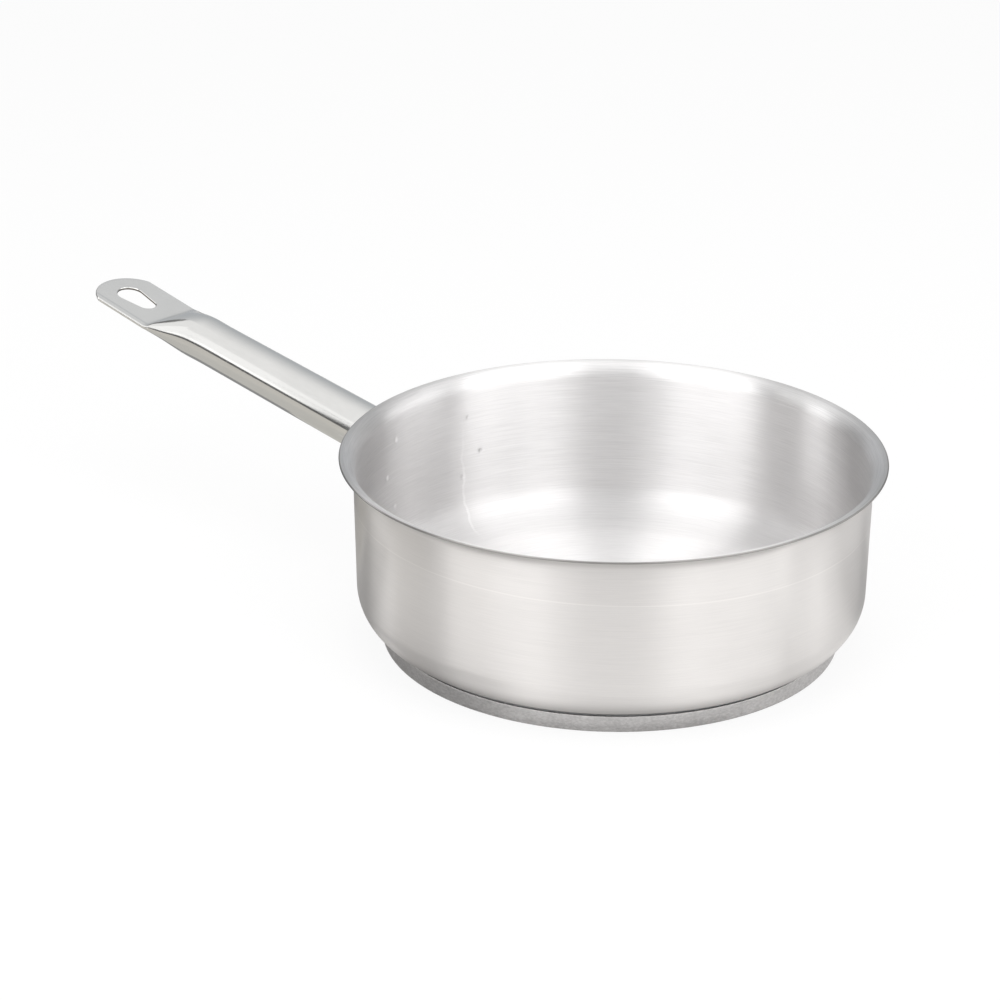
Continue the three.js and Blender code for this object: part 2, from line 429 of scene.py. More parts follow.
def body_zones(tree, x, y, z, radius):
    """Shares of the pan body's zones at a place, by name."""
    across_line = z - (line_height_on_axis + x * line_rise_x + y * line_rise_y)
    from_flare = length_of(radius - flare_centre_r, z - flare_centre_z)
    on_top = smooth(tree, from_flare, *beyond(flare_radius, sheet_middle))
    flared = smooth(tree, z, *beyond(flare_root_z, flare_foot_zone))
    from_corner = length_of(radius - corner_centre_r, z - corner_centre_z)
    bend = smooth(tree, from_corner, *beyond(corner_radius - body_sheet, sheet_middle))
    bend = bend * smooth(tree, radius, *beyond(base_radius, base_edge_zone))
    past_wall = radius - (wall_radius(0) + z * math.tan(wall_draft))
    outside = smooth(tree, past_wall, *outer_face_zone)
    outside = outside * (1 - flared * on_top)
    on_line = 1 - smooth(tree, across_line * across_line, line_core_squared, line_blend**2)
    return SimpleNamespace(
        outside=outside,
        above_line=smooth(tree, across_line, -line_blend, line_blend) * outside,
        on_line=on_line * outside,
        flare_top=flared * on_top,
        # Painted shadow under the lip
        lip_shadow=smooth(tree, z, *beyond(flare_root_z, lip_shadow_zone)) * outside,
        # Painted shade on the rim's cut edge
        cut_edge_shade=smooth(tree, radius, *beyond(lip_radius, cut_edge_shade_zone)),
        # Painted shade on the rim's top edge
        rim_shade=smooth(tree, radius, *beyond(lip_radius, rim_shade_zone)),
        floor=1 - smooth(tree, z, *beyond(floor_height, floor_zone)),
        hazed=1 - smooth(tree, z, *beyond(floor_height, haze_zone)),
        # Painted shade low on the bend, by the seam
        bend_shade=(1 - smooth(tree, z, *beyond(seam_height, bend_shade_zone))) * bend,
        # Near-black painted shade in the seam's gap
        seam=(1 - smooth(tree, z, *beyond(seam_height, seam_shade_zone))) * bend,
        outer_bend=bend * (1 - smooth(tree, z, *beyond(corner_centre_z, bend_top_zone))),
    )


def brushed_steel():
    """Satin steel brushed round the pan's axis, with a polishing line outside, and painted shade on the rim's
    edge, under the lip, low on the bend and in the seam.
    """
    finish, tree = new_finish("brushed_steel")
    x, y, z = object_place(tree)
    radius = length_of(x, y)
    turn_x = x / (radius + axis_guard)
    turn_y = y / (radius + axis_guard)
    travel = radius + z
    brushed = joined(tree, turn_x * fine_round, turn_y * fine_round, travel * fine_across)
    banded = joined(tree, turn_x * band_round, turn_y * band_round, travel * band_across)
    fine = noise(tree, brushed, 1.0, detail=3.0, roughness=0.65)
    bands = noise(tree, banded, 1.0)
    cloud = noise(tree, joined(tree, x, y, z), 0.03)
    zone = body_zones(tree, x, y, z, radius)
    inside = 1 - zone.outside

    marks = (weld_tone(tree, x, y, z) + drip_mark(tree, x, y, z) * drip_tone) * inside
    streaks = (fine - 0.5) * zone.flare_top * flare_streaks
    tone = fine * fine_share + bands * band_share + cloud * cloud_share
    tone = tone + streaks + zone.on_line * line_tone + marks
    inner = blended(tree, tone, *inner_tones)
    outer = blended(tree, tone, *outer_tones)
    colour = blended(tree, tone.math("MAXIMUM", zone.outside, zone.outer_bend), inner, outer)
    # A duller inside floor, then painted shade on the rim's top edge, under the lip, on the cut edge and low
    # on the bend
    for darkening in (
        zone.floor * inside * floor_dulling,
        zone.rim_shade * rim_shade_strength,
        zone.lip_shadow * lip_shadow_strength,
        zone.cut_edge_shade * cut_edge_shade_strength,
        zone.bend_shade * bend_shade_strength,
    ):
        colour = blended(tree, darkening, colour, dull_and_shade_tone)
    # Paints a near-black shade into the seam's gap
    colour = blended(tree, zone.seam, colour, seam_shade_tone)

    roughness = body_roughness + (fine - 0.5) * brush_roughness
    roughness = roughness + zone.above_line * above_line_roughness
    roughness = roughness + zone.hazed * inside * haze_roughness
    roughness = roughness + zone.flare_top * flare_roughness
    relief = (fine * brush_depth_fine_share + bands * (1 - brush_depth_fine_share)) * brush_depth
    metal(tree, colour, roughness, relief, anisotropy=1.0, turn=0.25)
    return finish


def blasted_steel():
    """Dull grained steel of the base."""
    finish, tree = new_finish("blasted_steel")
    x, y, z = object_place(tree)
    place = joined(tree, x, y, z)
    grain = noise(tree, joined(tree, x * 0.6, y * 0.6, z * 1.2), 1.0, detail=3.0, roughness=0.65)
    patch = noise(tree, place, 0.12, detail=3.0, roughness=0.6)
    tone = grain * 0.75 + patch * 0.25
    shade = smooth(tree, tone, 0.3, 0.7)
    colour = blended(tree, shade, *blasted_tones)
    metal(tree, colour, roughness=0.48 + grain * 0.14, relief=grain * 0.03)
    return finish


def polished_steel():
    """Polished steel of the handle, a little duller on its flattened end."""
    finish, tree = new_finish("polished_steel")
    x, y, z = object_place(tree)
    along = joined(tree, x * 0.05, y * 1.6, z * 1.6)
    hair = noise(tree, along, 1.0, detail=3.0, roughness=0.6)
    cloud = noise(tree, joined(tree, x, y, z), 0.05)
    bend_place = handle_place((bend_x, 0, 0)).x
    dull = smooth(tree, x, *beyond(bend_place, dull_end_zone))
    tone = hair * 0.5 + cloud * 0.5 + dull * 0.1
    sheared = node(tree, "ShaderNodeAttribute", attribute_name="hole_wall").output("Fac")
    colour = blended(tree, tone, *polished_tones)
    colour = blended(tree, sheared, colour, sheared_tone)
    roughness = 0.09 + hair * 0.06 + dull * 0.05 + sheared * 0.1
    metal(tree, colour, roughness, relief=hair * 0.0015)
    return finish


def welded_steel():
    """Weld metal, brushed clean, with a straw tint in places."""
    finish, tree = new_finish("welded_steel")
    x, y, z = object_place(tree)
    place = joined(tree, x, y, z)
    grain = noise(tree, place, 0.9, detail=3.0)
    tint = smooth(tree, noise(tree, place, 0.11), 0.45, 0.7)
    colour = blended(tree, tint, *welded_tones)
    metal(tree, colour, roughness=0.3 + grain * 0.18, relief=grain * 0.03)
    return finish


def rolled_aluminium():
    """Plain rolled aluminium of the core."""
    finish, tree = new_finish("rolled_aluminium")
    x, y, z = object_place(tree)
    rolling = noise(tree, joined(tree, x * 0.05, y * 2.0, z * 2.0), 1.0, detail=3.0)
    colour = blended(tree, rolling, *aluminium_tones)
    metal(tree, colour, roughness=0.36 + rolling * 0.16, relief=rolling * 0.01)
    return finish


# Meshes
def mesh_of(name, points, faces):
    """A mesh from points in millimetres."""
    mesh = bpy.data.meshes.new(name)
    mesh.from_pydata([(p[0] * MM, p[1] * MM, p[2] * MM) for p in points], [], faces)
    return mesh


def cleaned(mesh, sharp_angle):
    """Doubles merged, faces turned outwards, smooth shading with sharp edges past an angle."""
    work = bmesh.new()
    work.from_mesh(mesh)
    bmesh.ops.remove_doubles(work, verts=work.verts, dist=merge_distance * MM)
    bmesh.ops.recalc_face_normals(work, faces=work.faces)
    work.to_mesh(mesh)
    work.free()
    mesh.shade_smooth()
    mesh.set_sharp_from_angle(angle=sharp_angle)
    return mesh


def added(name, data):
    """A new object in the scene."""
    thing = bpy.data.objects.new(name, data)
    bpy.context.scene.collection.objects.link(thing)
    return thing


def settled(thing):
    """A plain mesh of what an object's modifiers make of it. The object itself goes."""
    bpy.context.view_layer.update()
    evaluated = thing.evaluated_get(bpy.context.evaluated_depsgraph_get())
    mesh = bpy.data.meshes.new_from_object(evaluated)
    thing.modifiers.clear()
    bpy.data.objects.remove(thing)
    return mesh


def set_down(name, mesh, finish, slot, *nodes):
    """Adds a finished piece that rides on the pan and stands for CAD nodes."""
    mesh.materials.clear()
    mesh.materials.append(finish)
    piece = added(name, mesh)
    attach(piece, "root")
    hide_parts(*nodes)


def refinish(name, finish):
    """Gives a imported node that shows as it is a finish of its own."""
    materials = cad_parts[name].data.materials
    materials.clear()
    materials.append(finish)


def rings_to_faces(ring_count, sides, closed):
    """Faces between rings of equal point counts, joined into a closed ring or left open at both ends."""
    faces = []
    spans = ring_count if closed else ring_count - 1
    for i in range(spans):
        here = i * sides
        there = (i + 1) % ring_count * sides
        for j in range(sides):
            after = (j + 1) % sides
            faces.append((here + j, here + after, there + after, there + j))
    return faces


def geometry_tree(name, inputs):
    """A geometry tree with named inputs and one result, and its group input."""
    tree = bpy.data.node_groups.new(name, "GeometryNodeTree")
    for label, kind in inputs:
        tree.interface.new_socket(label, in_out="INPUT", socket_type=kind)
    tree.interface.new_socket("Result", in_out="OUTPUT", socket_type="NodeSocketGeometry")
    return tree, node(tree, "NodeGroupInput")


def end_tree(tree, geometry, finish):
    """Ends a geometry tree in real faces that carry a finish."""
    real = node(tree, "GeometryNodeRealizeInstances", {"Geometry": geometry})
    shown = node(tree, "GeometryNodeSetMaterial", {"Geometry": real, "Material": finish})
    node(tree, "NodeGroupOutput", {"Result": shown})


def grown(name, start, tree, values):
    """A plain mesh of what a geometry tree makes from a starting mesh."""
    seed = added(name, start)
    modifier = seed.modifiers.new(name, "NODES")
    modifier.node_group = tree
    sockets = {item.name: item.identifier for item in tree.interface.items_tree}
    for label, value in values.items():
        modifier[sockets[label]] = value
    mesh = settled(seed)
    mesh.name = name
    return mesh


def turning_tree():
    """Turns a profile about the Z axis.

    The profile's X is the distance out from a thin spindle, and its Y runs downwards.
    """
    tree, given = geometry_tree(
        "turned_on_a_spindle",
        (
            ("Profile", "NodeSocketGeometry"),
            ("Spindle Radius", "NodeSocketFloat"),
            ("Sides", "NodeSocketInt"),
            ("Finish", "NodeSocketMaterial"),
        ),
    )
    profile = node(tree, "GeometryNodeMeshToCurve", {"Mesh": given.output("Profile")})
    circle = {"Resolution": given.output("Sides"), "Radius": given.output("Spindle Radius")}
    spindle = node(tree, "GeometryNodeCurvePrimitiveCircle", circle)
    skin = node(tree, "GeometryNodeCurveToMesh", {"Curve": spindle, "Profile Curve": profile})
    merging = {"Geometry": skin, "Distance": merge_distance * MM}
    closed = node(tree, "GeometryNodeMergeByDistance", merging)
    end_tree(tree, closed, given.output("Finish"))
    return tree


def turned(name, profile, tree, sides, finish):
    """A profile of radius and height turned about the Z axis."""
    points = [(radius - spindle_radius, -z, 0) for radius, z in profile]
    start = bpy.data.meshes.new(name)
    edges = [(i, i + 1) for i in range(len(points) - 1)]
    start.from_pydata([Vector(p) * MM for p in points], edges, [])
    values = {"Spindle Radius": spindle_radius * MM, "Sides": sides, "Finish": finish}
    return grown(name, start, tree, values)


def mix(start, end, share):
    """A number between two, by a share."""
    return start + (end - start) * share


def smoothstep(value):
    """0 below 0, 1 above 1 and a smooth step between."""
    value = min(max(value, 0), 1)
    return value * value * (3 - 2 * value)


def arc(centre, radius, start, end, steps):
    """Points of an arc as radius and height."""
    turns = [start + (end - start) * i / steps for i in range(steps + 1)]
    return [(centre[0] + radius * math.cos(t), centre[1] + radius * math.sin(t)) for t in turns]


def run(start, end, step):
    """Points of a straight stretch after its start and before its end."""
    gap = math.dist(start, end)
    count = max(1, round(gap / step))
    return [
        (start[0] + (end[0] - start[0]) * i / count, start[1] + (end[1] - start[1]) * i / count)
        for i in range(1, count)
    ]


def run_count(start, end, count):
    """A number of evenly spaced points between two."""
    shares = [i / (count + 1) for i in range(1, count + 1)]
    return [(mix(start[0], end[0], s), mix(start[1], end[1], s)) for s in shares]


# Pan body
def body_profile():
    """The sheet's section: out from the axis underneath, up the outside, over the rim and back inside."""
    corner = (corner_centre_r, corner_centre_z)
    flare = (flare_centre_r, flare_centre_z)
    wall_angle = math.pi - wall_draft
    half_sheet = body_sheet / 2
    edge_angle = flare_end + rim_edge_round / flare_radius
    edge_middle = flare_radius + half_sheet
    edge_centre = (
        flare[0] + edge_middle * math.cos(edge_angle),
        flare[1] + edge_middle * math.sin(edge_angle),
    )
    outer_corner = arc(corner, corner_radius, -QUARTER, -wall_draft, corner_steps)
    outer_flare = arc(flare, flare_radius, wall_angle, edge_angle, flare_steps)
    edge = arc(edge_centre, half_sheet, flare_end - math.pi, flare_end, rim_edge_steps)
    inner_flare = arc(flare, flare_radius + body_sheet, edge_angle, wall_angle, flare_steps)
    inner_corner = arc(corner, corner_radius - body_sheet, -wall_draft, -QUARTER, corner_steps)
    outer_floor = [(0, floor_height), (corner_centre_r / 2, floor_height)]
    top = floor_height + body_sheet
    inner_floor = [(corner_centre_r * share, top) for share in floor_rings]
    return (
        outer_floor
        + outer_corner
        + run(outer_corner[-1], outer_flare[0], outer_wall_step)
        + outer_flare
        + edge[1:-1]
        + inner_flare
        + run(inner_flare[-1], inner_corner[0], inner_wall_step)
        + inner_corner
        + inner_floor
    )


def dent_depth(across, z):
    """How far the weld spots press the inside of the wall outwards at a place."""
    depth = 0
    for mark_across, above, deepest, size, _ in weld_marks:
        away = math.dist((across, z), (mark_across, handle_height + above))
        depth += deepest * (1 - smoothstep(away / size))
    return depth


def press_weld_marks(mesh):
    """Splits the inside of the wall finely round the weld marks and presses their dents into it."""
    work = bmesh.new()
    work.from_mesh(mesh)

    def near_mark(vertex):
        x, across, z = vertex.co / MM
        if x < 0 or math.hypot(x, across) > wall_radius(z) - body_sheet / 2:
            return False
        places = [(mark[0], handle_height + mark[1]) for mark in weld_marks]
        return min(math.dist((across, z), place) for place in places) < mark_reach

    for _ in range(mark_splits):
        edges = [edge for edge in work.edges if near_mark(edge.verts[0]) and near_mark(edge.verts[1])]
        bmesh.ops.subdivide_edges(work, edges=edges, cuts=1, use_grid_fill=True)
    for vertex in work.verts:
        if near_mark(vertex):
            z = vertex.co.z / MM
            pressed = wall_radius(z) - body_sheet / math.cos(wall_draft) + dent_depth(vertex.co.y / MM, z)
            vertex.co.xy *= pressed * MM / vertex.co.xy.length
    work.to_mesh(mesh)
    work.free()


# Base capsule
def capsule_profile():
    """A shallow cup whose lip stops short of the body's bend."""
    inside = base_radius - capsule_sheet
    centre = (base_radius - capsule_bend, capsule_bend)
    lip_top = seam_height - seam_gap
    lip = (base_radius - lip_round, lip_top - lip_round)
    bend = arc(centre, capsule_bend, -QUARTER, 0, capsule_bend_steps)
    inner_bend = arc(centre, capsule_bend - capsule_sheet, 0, -QUARTER, capsule_inner_steps)
    return (
        [(0, 0), (base_radius / 2, 0)]
        + bend
        + run(bend[-1], (base_radius, lip[1]), flank_step)
        + arc(lip, lip_round, 0, math.pi, lip_steps)
        + [(inside, lip_top - 2 * lip_round)]
        + inner_bend
        + [(base_radius / 2, capsule_sheet), (0, capsule_sheet)]
    )


# Handle
handle_frame = Matrix.Translation((wall_radius(handle_height), 0, handle_height))
handle_frame = handle_frame @ Matrix.Rotation(-handle_tilt, 4, "Y")
bend_x = tube_length + flatten_length
hole_wide_x = tongue_length - hole_to_tip
hole_narrow_x = hole_wide_x - hole_centre_spacing
tongue_frame = handle_frame @ Matrix.Translation((bend_x, 0, 0))
tongue_frame = tongue_frame @ Matrix.Rotation(-tongue_bend, 4, "Y")


def handle_place(point):
    """A point of the handle's own frame, in the pan's frame."""
    return handle_frame @ Vector(point)


def tube_section(x):
    """Half width, half height and squareness of the tube at a distance along it. 2 is a plain oval."""
    along = min(x, tube_length) / tube_length
    pressed = max(0, x - tube_length) / flatten_length
    share = 1 - math.cos(pressed * QUARTER)
    lowered = max(0, x - bend_x + press_length) / press_length
    flattened = 1 - math.cos(lowered * QUARTER)
    half_width = mix(mix(tube_width, tube_far_width, along), tongue_width, share) / 2
    half_height = mix(mix(tube_height, tube_far_height, along), crease_height, flattened) / 2
    squareness = mix(2, tongue_squareness, pressed**crease_sharpness)
    return half_width, half_height, squareness


def oval_point(section, angle):
    """A point of the tube's section, as across and up."""
    half_width, half_height, squareness = section
    power = 2 / squareness
    across = math.cos(angle)
    up = math.sin(angle)
    return (
        half_width * math.copysign(abs(across) ** power, across),
        half_height * math.copysign(abs(up) ** power, up),
    )


def fold_profile():
    """The pressed section's rolled edge from its flat top down: an arc, a bevel and a small round."""
    arc_drop = fold_radius * (1 - math.sin(fold_stop))
    under_drop = fold_under_round * (1 + math.sin(fold_stop))
    bevel_drop = pressed_thickness - arc_drop - under_drop
    upper = [mix(QUARTER, fold_stop, i / fold_upper_steps) for i in range(fold_upper_steps + 1)]
    lower = [mix(fold_stop, -QUARTER, i / fold_lower_steps) for i in range(fold_lower_steps + 1)]
    points = [(fold_radius * math.cos(turn), fold_radius * (math.sin(turn) - 1)) for turn in upper]
    out = points[-1][0] + bevel_drop * math.tan(fold_stop) - fold_under_round * math.cos(fold_stop)
    centre = fold_under_round - pressed_thickness
    for turn in lower:
        points.append((out + fold_under_round * math.cos(turn), centre + fold_under_round * math.sin(turn)))
    return points, out + fold_under_round


fold_points, fold_inset = fold_profile()


def folded_side(angle):
    """A point of the pressed section's near half, by an angle from a quarter turn down to minus one."""
    half_width = tongue_width / 2
    top = pressed_thickness / 2
    flat_edge = half_width - fold_inset
    if angle >= fold_from:
        return flat_edge * (abs(math.cos(angle)) / math.cos(fold_from)) ** flat_spread, top
    if angle >= fold_to:
        place = (fold_from - angle) / (fold_from - fold_to) * (len(fold_points) - 1)
        first = min(int(place), len(fold_points) - 2)
        here, ahead = fold_points[first : first + 2]
        out, down = (mix(a, b, place - first) for a, b in zip(here, ahead))
        return flat_edge + out, top + down
    under_edge = flat_edge + fold_points[-1][0]
    return under_edge * (abs(math.cos(angle)) / math.cos(fold_to)) ** flat_spread, -top


def folded_point(angle):
    """A point of the pressed section: flat, with folded upper edges and a press mark along the near one."""
    turn = math.remainder(angle, 2 * math.pi)
    if abs(turn) > QUARTER:
        across, up = folded_side(math.remainder(math.pi - turn, 2 * math.pi))
        return -across, up
    across, up = folded_side(turn)
    fade = min(max((turn - fold_to) / (fold_from - fold_to), 0), 1)
    raised = smoothstep((across - press_mark_place) / press_mark_width)
    return across, up + fade * press_mark_height * raised


def wall_seat(across, up, offset):
    """Distance along the handle's axis at which it meets the wall's outside, moved out by an offset."""
    placed = handle_place((0, across, up))
    face = math.sqrt((wall_radius(placed.z) + offset) ** 2 - placed.y**2)
    return (face - placed.x) / math.cos(handle_tilt)


flange_face = seat_gap + flange_sheet
tube_end = flange_face + seat_gap


def handle_rings():
    """Rings of the handle from the flange to the tip, in the pan's frame."""
    angles = [2 * math.pi * i / tube_sides for i in range(tube_sides)]
    rings = []
    first = [oval_point(tube_section(tube_end), a) for a in angles]
    rings.append([handle_place((wall_seat(v, w, tube_end), v, w)) for v, w in first])
    plain_run = tube_length - first_ring_place
    plain = [first_ring_place + plain_run * i / plain_rings for i in range(plain_rings + 1)]
    pressed_end = bend_x - crease_blend
    pressed = [mix(tube_length, pressed_end, i / pressed_rings) for i in range(1, pressed_rings + 1)]
    crease = [mix(pressed_end, bend_x, i / crease_rings) for i in range(1, crease_rings + 1)]
    for x in plain + pressed + crease:
        share = smoothstep((x - bend_x + crease_blend) / crease_blend)
        ring = []
        for angle in angles:
            v, w = oval_point(tube_section(x), angle)
            folded_v, folded_w = folded_point(angle)
            ring.append(handle_place((x, mix(v, folded_v, share), mix(w, folded_w, share))))
        rings.append(ring)
    section = [folded_point(a) for a in angles]
    tip_centre = tongue_length - tip_radius

    def tip_ring(share, pull_in, thin):
        ring = []
        for v, w in section:
            reach = tip_centre + math.sqrt(tip_radius**2 - v * v) - pull_in
            height = math.copysign(max(abs(w) - thin, tip_thinnest_half), w)
            ring.append(tongue_frame @ Vector((reach * share, v, height)))
        return ring

    rings += [tip_ring(i / tip_rings, tip_edge_round, 0) for i in range(1, tip_rings + 1)]
    for step in range(1, tip_edge_steps + 1):
        turn = QUARTER * step / tip_edge_steps
        pull_in = tip_edge_round * (1 - math.sin(turn))
        rings.append(tip_ring(1, pull_in, tip_edge_round * (1 - math.cos(turn))))
    rings.append(tip_ring(1, 0, pressed_thickness / 2 - tip_seam_half_gap))
    rings.append(tip_ring(1, tip_seam_depth, pressed_thickness / 2))
    return rings


def handle_mesh():
    """The handle's skin, closed at the flange and at the tip's pressed seam, before its hole is cut."""
    rings = handle_rings()
    points = [p for ring in rings for p in ring]
    faces = rings_to_faces(len(rings), tube_sides, False)
    faces.append(tuple(range(tube_sides)))
    last = len(points) - tube_sides
    for j in range(tube_sides // 2):
        low = (tube_sides - j) % tube_sides
        low_next = tube_sides - j - 1
        corners = (last + j, last + j + 1, last + low_next, last + low)
        faces.append(tuple(dict.fromkeys(corners)))
    return cleaned(mesh_of("handle_skin", points, faces), never_sharp)


def hole_cutter():
    """A plug for the hanging hole, wider at both faces so that the hole's edges come out rounded."""
    side = math.acos((hole_narrow_radius - hole_wide_radius) / hole_centre_spacing)
    steps = hole_arc_steps
    face = pressed_thickness / 2
    upper = [(face + hole_tool_overrun, hole_edge_round)]
    for i in range(hole_edge_steps + 1):
        turn = QUARTER * i / hole_edge_steps
        grow = hole_edge_round * (1 - math.cos(QUARTER - turn))
        upper.append((face - hole_edge_round * math.sin(turn), grow))
    levels = upper + [(-height, grow) for height, grow in reversed(upper)]
    points = []
    for height, grow in levels:
        for i in range(steps + 1):
            turn = -side + 2 * side * i / steps
            radius = hole_wide_radius + grow
            points.append((hole_wide_x + radius * math.cos(turn), radius * math.sin(turn), height))
        for i in range(steps + 1):
            turn = side + 2 * (math.pi - side) * i / steps
            radius = hole_narrow_radius + grow
            points.append((hole_narrow_x + radius * math.cos(turn), radius * math.sin(turn), height))
    sides = 2 * (steps + 1)
    faces = rings_to_faces(len(levels), sides, False)
    faces.append(tuple(range(sides)))
    faces.append(tuple(range(len(points) - sides, len(points))))
    placed = [tongue_frame @ Vector(p) for p in points]
    return cleaned(mesh_of("hole_cutter", placed, faces), never_sharp)


def pierced(mesh, cutter):
    """A mesh with a cutter's shape taken out of it."""
    blank = added("handle_blank", mesh)
    tool = added("hole_tool", cutter)
    cut = blank.modifiers.new("hole", "BOOLEAN")
    cut.operation = "DIFFERENCE"
    cut.solver = "EXACT"
    cut.object = tool
    result = settled(blank)
    bpy.data.objects.remove(tool)
    result.name = "handle_skin"
    return cleaned(result, handle_sharp)


def mark_hole_wall(mesh):
    """Marks the points of the hole's sheared wall, as an attribute that the finish reads."""
    mark = mesh.attributes.new("hole_wall", "FLOAT", "POINT")
    to_tongue = tongue_frame.inverted()
    near_end = -(hole_centre_spacing + hole_narrow_radius) - hole_mark_margin
    far_end = hole_wide_radius + hole_mark_margin
    wall_top = pressed_thickness / 2 - hole_edge_round * hole_wall_share
    for vertex, value in zip(mesh.vertices, mark.data):
        along, across, up = to_tongue @ (vertex.co / MM)
        beside_hole = near_end < along - hole_wide_x < far_end and abs(across) < far_end
        value.value = beside_hole and abs(up) < wall_top


# Flange
def flange_spots():
    """The six weld spots in their order round the flange, as across and up from the handle's axis."""
    spots = []
    for side in (1, -1):
        spots.append((side * spot_span_outer / 2, -side * spot_rows_apart / 2))
        spots.append((side * spot_span_middle / 2, 0))
        spots.append((side * spot_span_outer / 2, side * spot_rows_apart / 2))
    return spots


spot_places = flange_spots()


def flange_outline(inset):
    """Points round the flange, a margin outside the weld spots with rounded corners, drawn in by an inset."""
    radius = flange_margin - inset
    corners = []
    count = len(spot_places)
    for i, spot in enumerate(spot_places):
        before = Vector(spot) - Vector(spot_places[i - 1])
        after = Vector(spot_places[(i + 1) % count]) - Vector(spot)
        start = math.atan2(before.y, before.x) - QUARTER
        turn = math.remainder(math.atan2(after.y, after.x) - QUARTER - start, 2 * math.pi)
        corners.append(arc(spot, radius, start, start + turn, flange_corner_steps))
    outline = []
    for i, corner in enumerate(corners):
        ahead = corners[(i + 1) % count][0]
        outline += corner + run_count(corner[-1], ahead, flange_side_points)
    return outline


def flange_mesh():
    """A plate curved to the wall, with rounded edges, a dent at each weld spot and a seat for the tube."""
    half_width, half_height = tube_section(tube_end)[:2]
    outer = flange_outline(0)
    seat = []
    for across, up in outer:
        angle = math.atan2(up / half_height, across / half_width)
        seat_across = flange_seat_share * half_width * math.cos(angle)
        seat_up = flange_seat_share * half_height * math.sin(angle)
        seat.append((seat_across, seat_up))
    edge = flange_outline(flange_edge_round)
    levels = [(edge, seat_gap), (outer, seat_gap + flange_edge_round / 2)]
    for step in range(flange_edge_steps + 1):
        turn = QUARTER * step / flange_edge_steps
        inset = flange_edge_round * (1 - math.cos(turn))
        lift = flange_face - flange_edge_round * (1 - math.sin(turn))
        levels.append((flange_outline(inset), lift))
    for step in range(1, flange_rings + 1):
        share = step / flange_rings
        ring = [(mix(a[0], b[0], share), mix(a[1], b[1], share)) for a, b in zip(edge, seat)]
        levels.append((ring, flange_face))
    levels.append((seat, seat_gap))
    points = []
    for ring, lift in levels:
        for across, up in ring:
            away = min(math.dist((across, up), spot) for spot in spot_places) / spot_dent_radius
            dent = spot_dent_depth * max(0, 1 - away**2) ** 2 if lift == flange_face else 0
            z = handle_height + up
            radius = wall_radius(z) + lift - dent
            points.append((math.sqrt(radius**2 - across**2), across, z))
    faces = rings_to_faces(len(levels), len(outer), True)
    return cleaned(mesh_of("flange_plate", points, faces), flange_sharp)


# Weld bead
def bead_tree():
    """A round bead along a closed path, its thickness rippling as it goes."""
    tree, given = geometry_tree(
        "rippled_bead",
        (
            ("Path", "NodeSocketGeometry"),
            ("Bead Radius", "NodeSocketFloat"),
            ("Ripples", "NodeSocketFloat"),
            ("Ripple Depth", "NodeSocketFloat"),
            ("Finish", "NodeSocketMaterial"),
        ),
    )
    path = node(tree, "GeometryNodeMeshToCurve", {"Mesh": given.output("Path")})
    spacing = {"Curve": path, "Count": bead_ripples * bead_ripple_steps}
    fine = node(tree, "GeometryNodeResampleCurve", spacing)
    turn = node(tree, "GeometryNodeSplineParameter") * given.output("Ripples") * (2 * math.pi)
    ripple = 1 + turn.math("SINE", turn) * given.output("Ripple Depth")
    rippled = node(tree, "GeometryNodeSetCurveRadius", {"Curve": fine, "Radius": ripple})
    circle = {"Resolution": bead_sides, "Radius": given.output("Bead Radius")}
    section = node(tree, "GeometryNodeCurvePrimitiveCircle", circle)
    sweep = {"Curve": rippled, "Profile Curve": section, "Scale": ripple}
    skin = node(tree, "GeometryNodeCurveToMesh", sweep)
    end_tree(tree, skin, given.output("Finish"))
    return tree


def bead_mesh(finish):
    """The weld bead in the corner between the tube and the flange."""
    half_width, half_height = tube_section(tube_end)[:2]
    reach = bead_radius * bead_reach_share
    steps = bead_path_steps
    points = []
    for i in range(steps):
        angle = 2 * math.pi * i / steps
        across = (half_width + reach) * math.cos(angle)
        up = (half_height + reach) * math.sin(angle)
        points.append(handle_place((wall_seat(across, up, tube_end) + reach, across, up)) * MM)
    start = bpy.data.meshes.new("weld_bead")
    start.from_pydata(points, [(i, (i + 1) % steps) for i in range(steps)], [])
    values = {
        "Bead Radius": bead_radius * MM,
        "Ripples": float(bead_ripples),
        "Ripple Depth": bead_ripple_depth,
        "Finish": finish,
    }
    return cleaned(grown("weld_bead", start, bead_tree(), values), bead_sharp)


# Pieces
body_finish = brushed_steel()
base_finish = blasted_steel()
handle_finish = polished_steel()
weld_finish = welded_steel()
core_finish = rolled_aluminium()

turning = turning_tree()
body_mesh = turned("pan_shell", body_profile(), turning, body_sides, body_finish)
cleaned(body_mesh, turned_sharp)
press_weld_marks(body_mesh)
set_down("pan_shell", body_mesh, body_finish, "body_steel", "pan_body")

capsule_mesh = turned("base_cup", capsule_profile(), turning, capsule_sides, base_finish)
cleaned(capsule_mesh, turned_sharp)
set_down("base_cup", capsule_mesh, base_finish, "capsule_steel", "base_capsule")

handle = pierced(handle_mesh(), hole_cutter())
mark_hole_wall(handle)
set_down("handle_skin", handle, handle_finish, "handle_steel", "handle_tube")
set_down("flange_plate", flange_mesh(), handle_finish, "handle_steel", "handle_flange")
set_down("weld_bead", bead_mesh(weld_finish), weld_finish, "weld_steel", "handle_bead")

refinish("base_core", core_finish)
for number in range(1, len(spot_places) + 1):
    refinish(f"spot_weld_{number}", weld_finish)

# Camera at the photograph's viewing angle
view_heading = math.radians(-47.8)
view_drop = math.radians(22.57)
view_roll = math.radians(0.22)
view_from = Vector((-832.7, 996.5, 606.1)) * MM
sensor_width = 36
focal_length = 108

level = math.cos(view_drop)
forward = Vector((math.cos(view_heading) * level, math.sin(view_heading) * level, -math.sin(view_drop)))
right = Vector((math.sin(view_heading), -math.cos(view_heading), 0))
up = right.cross(forward)
camera_right = right * math.cos(view_roll) + up * math.sin(view_roll)
camera_up = up * math.cos(view_roll) - right * math.sin(view_roll)

